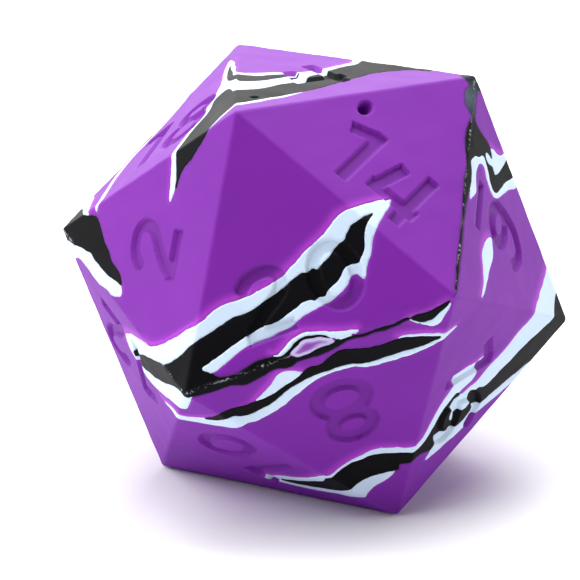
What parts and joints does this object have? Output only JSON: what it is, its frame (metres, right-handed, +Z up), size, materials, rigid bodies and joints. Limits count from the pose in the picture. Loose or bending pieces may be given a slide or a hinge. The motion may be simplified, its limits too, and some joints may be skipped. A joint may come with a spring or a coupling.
{
  "type": "twenty-sided die",
  "caption": "Oversized twenty-sided silicone die with sunken numerals and marbled colour veins, for tabletop games",
  "frame": {"origin": "centre of the face the die rests on (the 17), at the base of the object", "axes": "+Z up, normal to the uppermost face (the 4); -Y towards the 20 face; +X to the right when looking at the 20"},
  "size_m": [0.073, 0.0684, 0.06],
  "materials": {
    "purple_silicone": "matte soft silicone, vivid purple",
    "white_silicone": "matte soft silicone, bluish white",
    "black_silicone": "matte soft silicone, near black"
  },
  "bodies": {
    "root": {"black_back_base": "black_silicone", "black_corner_c_base": "black_silicone", "black_corner_d_base": "black_silicone", "black_corner_d_cap": "black_silicone", "black_corner_e_base": "black_silicone", "black_corner_e_cap": "black_silicone", "black_crown_cap": "black_silicone", "black_front_base": "black_silicone", "black_front_cap": "black_silicone", "black_heel_base": "black_silicone", "black_lower_base": "black_silicone", "black_right_base": "black_silicone", "black_top_base": "black_silicone", "black_top_cap": "black_silicone", "blister_base": "purple_silicone", "blister_cap": "purple_silicone", "purple_base": "purple_silicone", "purple_cap": "purple_silicone", "white_back_base": "white_silicone", "white_corner_c_base": "white_silicone", "white_corner_d_base": "white_silicone", "white_corner_e_base": "white_silicone", "white_corner_e_cap": "white_silicone", "white_drop_six_base": "white_silicone", "white_front_base": "white_silicone", "white_front_cap": "white_silicone", "white_heel_base": "white_silicone", "white_lip_base": "white_silicone", "white_lip_cap": "white_silicone", "white_lower_base": "white_silicone", "white_right_base": "white_silicone", "white_stripe_cap": "white_silicone", "white_top_base": "white_silicone", "white_top_cap": "white_silicone"}
  },
  "joints": []
}
